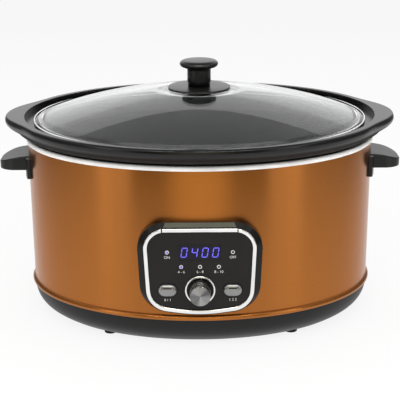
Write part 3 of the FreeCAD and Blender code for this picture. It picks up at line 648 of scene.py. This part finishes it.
def make_disc():
    height = DISC_HIGH.z - DISC_LOW.z
    radius = (DISC_HIGH.x - DISC_LOW.x) / 2
    edge = [
        (radius - 1.2 * MM, 0),
        (radius - 0.3 * MM, 0.2 * MM),
        (radius, 0.65 * MM),
        (radius - 0.3 * MM, 1.15 * MM),
        (radius - 1.6 * MM, 1.5 * MM),
        (radius - 7.0 * MM, height * DISC_SHOULDER_SHARE),
        (radius - 14.0 * MM, height),
        (COLLAR_RADIUS + 1.6 * MM, height),
    ]
    dish = [
        (COLLAR_RADIUS + 0.9 * MM, height - 0.1 * MM),
        (COLLAR_RADIUS + 0.5 * MM, height - DISC_DISH),
        (0, height - DISC_DISH),
    ]
    profile = [(0, 0)] + curve_points(edge, KNOB_CURVE_STEPS) + dish
    mesh = lathe("knob_base", profile, DISC_STEPS, Vector((0, 0, DISC_LOW.z)), UPRIGHT)
    disc = new_piece("knob_base", mesh, MATERIALS["knob_plastic"], "lid")
    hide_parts("knob_disc")


# Strip on the sloping hood above the display, olive grey as a painted sheen of the top light, and the
# dim field behind the digits
HOOD_ABOVE_BAR = 1.0 * MM
HOOD_BELOW_TOP = 0.35 * MM
HOOD_FRONT = 0.2 * MM
HOOD_BACK = 3.65 * MM
HOOD_LOW_INSET = 1.0 * MM
HOOD_HIGH_INSET = 3.0 * MM
HOOD_PUSH = Vector((0, -0.25 * MM, 0.2 * MM))
FIELD_HALF_WIDTH = 21.0 * MM
FIELD_HALF_HEIGHT = 6.4 * MM
FIELD_PUSH = Vector((0, -0.05 * MM, 0))


def make_plate(name, corners, push, material):
    """Thin plate over four corners, raised by the push vector."""

    def build(work):
        add_prism(work, [Vector(corner) + push for corner in corners], corners)

    new_piece(name, mesh_from(build, name), material, "housing", False)


def make_hood_sheen():
    bar_low, bar_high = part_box("panel_frame_top")
    pod_low, pod_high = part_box("panel_pod")
    low_z = bar_high.z + HOOD_ABOVE_BAR
    high_z = pod_high.z - HOOD_BELOW_TOP
    front_y = pod_low.y + HOOD_FRONT
    back_y = pod_low.y + HOOD_BACK
    corners = [
        (bar_low.x + HOOD_LOW_INSET, front_y, low_z),
        (bar_high.x - HOOD_LOW_INSET, front_y, low_z),
        (bar_high.x - HOOD_HIGH_INSET, back_y, high_z),
        (bar_low.x + HOOD_HIGH_INSET, back_y, high_z),
    ]
    # The hood facet is real; the strip's olive grey colour is a painted sheen
    make_plate("hood_sheen_strip", corners, HOOD_PUSH, HOOD_PAINTED_SHEEN)


def make_display_field():
    middle = (WINDOW_LOW + WINDOW_HIGH) / 2
    corners = []
    for x_side, z_side in ((-1, -1), (1, -1), (1, 1), (-1, 1)):
        x = middle.x + x_side * FIELD_HALF_WIDTH
        corners.append((x, FACE_Y, middle.z + z_side * FIELD_HALF_HEIGHT))
    make_plate("display_field", corners, FIELD_PUSH, HALO_BLUE)


# Lid pane with a thin polished edge, and a whitish ring over it that is a painted highlight of that
# edge
LID_LOW, LID_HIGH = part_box("lid_glass")
LID_EDGE = 2.9 * MM
LID_THICK = 4.0 * MM
CROWN_SCALE = 0.25
DOME_POWER = 1.7
DOME_START = 0.985
DOME_END = 0.02
DOME_RINGS = 40
INSIDE_SKIP = 2
LID_STEPS = 180
# Shares of the lid's half size with heights in millimetres
LID_EDGE_POINTS = [(0.955, 0.0), (0.994, 0.0), (0.9985, 0.5), (1.0, 1.2), (0.9985, 2.0), (0.994, 2.5)]
LID_HIGHLIGHT_POINTS = [(0.9905, 2.7), (0.9955, 2.3), (0.9999, 1.3), (0.9992, 2.6), (0.995, 3.4)]


def dome_height(scale):
    """Height of the outside of the dome at a share of the lid's half size."""
    rise = (LID_HIGH.z - LID_LOW.z - LID_EDGE) / (1 - CROWN_SCALE ** DOME_POWER)
    return LID_EDGE + rise * (1 - max(scale, CROWN_SCALE) ** DOME_POWER)


def lid_ring(name, profile):
    """Closed oval ring or shell with the lid's outline."""
    spread = Matrix.Diagonal((LID_HIGH.x, LID_HIGH.y, 1.0))
    return lathe(name, profile + profile[:1], LID_STEPS, Vector((0, 0, LID_LOW.z)), spread)


def make_lid():
    span = DOME_START - DOME_END
    scales = [DOME_START - span * step / DOME_RINGS for step in range(DOME_RINGS + 1)]
    outside = [(scale, dome_height(scale)) for scale in scales]
    inside = [(scale, dome_height(scale) - LID_THICK) for scale in reversed(scales[INSIDE_SKIP:])]
    edge = [(scale, height * MM) for scale, height in LID_EDGE_POINTS]
    pane = lid_ring("lid_pane", inside + edge + outside)
    glass = new_piece("lid_pane", pane, MATERIALS["lid_glass"], "lid")
    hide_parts("lid_glass")
    # Whitish ring along the rim: painted highlight of the glass edge
    line = lid_ring("lid_edge_highlight", [(scale, height * MM) for scale, height in LID_HIGHLIGHT_POINTS])
    new_piece("lid_edge_highlight", line, EDGE_PAINTED_HIGHLIGHT, "lid")


# Crowned buttons
BUTTON_RINGS = 9
BUTTON_STEPS = 24
BUTTON_EDGE = 1.2 * MM
BUTTON_INSET = 1.5 * MM
BUTTON_BACK = 2.3 * MM
CROWN_SHARE = 0.86
# Dark bar across each button's crown: painted shade of a shallow groove's edge
BUTTON_SHADE_BAR_HALF = 3.7 * MM
BUTTON_SHADE_BAR_RADIUS = 0.7 * MM
BUTTON_SHADE_BAR_RISE = 3.0 * MM
BUTTON_SHADE_BAR_DEPTH = 1.4 * MM


def pill_outline(half_length, radius):
    """Points (x, z) round a bar with round ends."""
    points = []
    for side in (1, -1):
        for step in range(BUTTON_STEPS + 1):
            turn = math.pi * (step / BUTTON_STEPS - 0.5)
            x = half_length + radius * math.cos(turn)
            points.append((side * x, side * radius * math.sin(turn)))
    return points


def make_button(node, body):
    low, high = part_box(node)
    face = low.y
    middle_x = (low.x + high.x) / 2
    middle_z = (low.z + high.z) / 2
    radius = (high.z - low.z) / 2 - BUTTON_INSET
    half_length = (high.x - low.x) / 2 - BUTTON_INSET - radius
    shoulder = FACE_Y - BUTTON_EDGE

    def build_crown(work):
        depths = [(0.0, FACE_Y + BUTTON_BACK)]
        for step in range(BUTTON_RINGS):
            share = step / (BUTTON_RINGS - 1)
            swell = math.sqrt(1 - (1 - share) ** 2)
            depths.append((share * CROWN_SHARE, shoulder + (face - shoulder) * swell))
        rings = []
        for share, y in depths:
            outline = pill_outline(half_length, radius * (1 - share))
            rings.append([work.verts.new((middle_x + x, y, middle_z + z)) for x, z in outline])
        count = len(rings[0])
        for outer, inner in zip(rings, rings[1:]):
            for step in range(count):
                ahead = (step + 1) % count
                work.faces.new((outer[step], outer[ahead], inner[ahead], inner[step]))
        work.faces.new(rings[-1])
        work.faces.new(rings[0][::-1])

    # Dark plastic bar where the groove's edge lies in shade: painted shade
    def build_shade_bar(work):
        outline = pill_outline(BUTTON_SHADE_BAR_HALF, BUTTON_SHADE_BAR_RADIUS)
        places = [(middle_x + x, middle_z + BUTTON_SHADE_BAR_RISE + z) for x, z in outline]
        front = [(x, face, z) for x, z in places]
        back = [(x, face + BUTTON_SHADE_BAR_DEPTH, z) for x, z in places]
        add_prism(work, front, back)

    crown_mesh = mesh_from(build_crown, node + "_crown")
    crown = new_piece(node + "_crown", crown_mesh, MATERIALS["button_silver"], body)
    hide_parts(node)
    shade_bar_mesh = mesh_from(build_shade_bar, node + "_shade_bar")
    new_piece(node + "_shade_bar", shade_bar_mesh, MATERIALS["face_plastic"], body, False)


# Stage
def seen_directly(tree):
    """One for rays from the camera, from gloss and through glass, else nothing."""
    path = tree.nodes.new("ShaderNodeLightPath")
    seen = math_node(tree, "MAXIMUM", path.outputs["Is Camera Ray"], path.outputs["Is Glossy Ray"])
    return math_node(tree, "MAXIMUM", seen, path.outputs["Is Transmission Ray"])


def make_world():
    world = bpy.data.worlds.new("studio")
    bpy.context.scene.world = world
    world.use_nodes = True
    tree = world.node_tree
    background = tree.nodes["Background"]
    background.inputs["Color"].default_value = (1, 1, 1, 1)
    level = tree.nodes.new("ShaderNodeMapRange")
    level.inputs["To Min"].default_value = STUDIO_FILL
    level.inputs["To Max"].default_value = 1.0
    tree.links.new(seen_directly(tree), level.inputs["Value"])
    tree.links.new(level.outputs["Result"], background.inputs["Strength"])


def flat_stage(name, corners):
    """Stage quad with an empty material: the object and the material's node tree."""
    mesh = bpy.data.meshes.new(name)
    mesh.from_pydata(corners, [], [(0, 1, 2, 3)])
    sheet = bpy.data.objects.new(name, mesh)
    bpy.context.scene.collection.objects.link(sheet)
    material = bpy.data.materials.new(name)
    material.use_nodes = True
    material.node_tree.nodes.clear()
    mesh.materials.append(material)
    return sheet, material.node_tree


def make_floor():
    half = FLOOR_HALF
    corners = [(-half, -half, 0), (half, -half, 0), (half, half, 0), (-half, half, 0)]
    floor, tree = flat_stage("floor", corners)
    matt = tree.nodes.new("ShaderNodeBsdfDiffuse")
    matt.inputs["Color"].default_value = (*FLOOR_TONE, 1)
    shine = tree.nodes.new("ShaderNodeEmission")
    shine.inputs["Color"].default_value = (1, 1, 1, 1)
    mix = tree.nodes.new("ShaderNodeMixShader")
    output = tree.nodes.new("ShaderNodeOutputMaterial")
    tree.links.new(math_node(tree, "MULTIPLY", seen_directly(tree), FLOOR_WHITE), mix.inputs["Fac"])
    tree.links.new(matt.outputs["BSDF"], mix.inputs[1])
    tree.links.new(shine.outputs["Emission"], mix.inputs[2])
    tree.links.new(mix.outputs["Shader"], output.inputs["Surface"])


def make_card(name, corners, middle, edge, fade=CARD_FADE):
    """Flat studio card that only reflections show, shaded from its middle to its sides."""
    card, tree = flat_stage(name, corners)
    place = tree.nodes.new("ShaderNodeTexCoord")
    axes = tree.nodes.new("ShaderNodeSeparateXYZ")
    tree.links.new(place.outputs["Object"], axes.inputs["Vector"])
    ramp = tree.nodes.new("ShaderNodeValToRGB")
    ramp.color_ramp.interpolation = "EASE"
    ramp.color_ramp.elements[0].position = 0.0
    ramp.color_ramp.elements[0].color = (*middle, 1)
    ramp.color_ramp.elements[1].position = fade
    ramp.color_ramp.elements[1].color = (*edge, 1)
    square = math_node(tree, "MULTIPLY", axes.outputs["X"], axes.outputs["X"])
    tree.links.new(square, ramp.inputs["Fac"])
    shine = tree.nodes.new("ShaderNodeEmission")
    tree.links.new(ramp.outputs["Color"], shine.inputs["Color"])
    output = tree.nodes.new("ShaderNodeOutputMaterial")
    tree.links.new(shine.outputs["Emission"], output.inputs["Surface"])
    card.visible_camera = False
    card.visible_diffuse = False
    card.visible_shadow = False
    card.visible_transmission = False


def make_cards():
    """A dark card with a golden middle before the object, a grey card on each side and one above."""
    half = CARD_HALF_WIDTH
    y = FRONT_CARD_Y
    front = [(-half, y, 0), (half, y, 0), (half, y, CARD_TOP), (-half, y, CARD_TOP)]
    make_card("front_card", front, CARD_GOLD, CARD_DARK)
    for x, name in ((-SIDE_CARD_X, "left_card"), (SIDE_CARD_X, "right_card")):
        side = [
            (x, SIDE_CARD_FRONT, 0),
            (x, SIDE_CARD_BACK, 0),
            (x, SIDE_CARD_BACK, SIDE_CARD_TOP),
            (x, SIDE_CARD_FRONT, SIDE_CARD_TOP),
        ]
        make_card(name, side, CARD_GREY, CARD_GREY)
    half = CEILING_HALF_WIDTH
    ceiling = [
        (-half, CEILING_FRONT, CEILING_Z),
        (half, CEILING_FRONT, CEILING_Z),
        (half, CEILING_BACK, CEILING_Z),
        (-half, CEILING_BACK, CEILING_Z),
    ]
    make_card("ceiling_card", ceiling, CARD_CEILING, CARD_CEILING_EDGE, CEILING_FADE)


def make_lights():
    for name, lamp in LAMPS.items():
        data = bpy.data.lights.new(name, "AREA")
        data.shape = "RECTANGLE"
        data.size, data.size_y = lamp["size"]
        data.energy = lamp["watts"]
        light = bpy.data.objects.new(name, data)
        light.location = lamp["place"]
        towards = LAMP_AIM - Vector(lamp["place"])
        light.rotation_euler = towards.to_track_quat("-Z", "Y").to_euler()
        light.visible_camera = False
        bpy.context.scene.collection.objects.link(light)


def make_camera():
    data = bpy.data.cameras.new("camera")
    data.lens = CAMERA_LENS
    data.sensor_width = SENSOR_WIDTH
    camera = bpy.data.objects.new("camera", data)
    level = CAMERA_DISTANCE * math.cos(CAMERA_ELEVATION)
    rise = CAMERA_DISTANCE * math.sin(CAMERA_ELEVATION)
    back = Vector((level * math.sin(CAMERA_AZIMUTH), -level * math.cos(CAMERA_AZIMUTH), rise))
    turn = (-back).to_track_quat("-Z", "Y").to_matrix().to_4x4()
    roll = Matrix.Rotation(CAMERA_ROLL, 4, "Z")
    camera.matrix_world = Matrix.Translation(CAMERA_AIM + back) @ turn @ roll
    bpy.context.scene.collection.objects.link(camera)
    bpy.context.scene.camera = camera


def main():
    bpy.context.scene.view_settings.view_transform = "Standard"
    dress_nodes()
    make_digits()
    make_lamps()
    make_marks()
    make_grip()
    make_disc()
    make_lid()
    make_hood_sheen()
    make_display_field()
    make_button("button_power", "power_button")
    make_button("button_menu", "menu_button")
    make_world()
    make_floor()
    make_cards()
    make_lights()
    make_camera()


main()
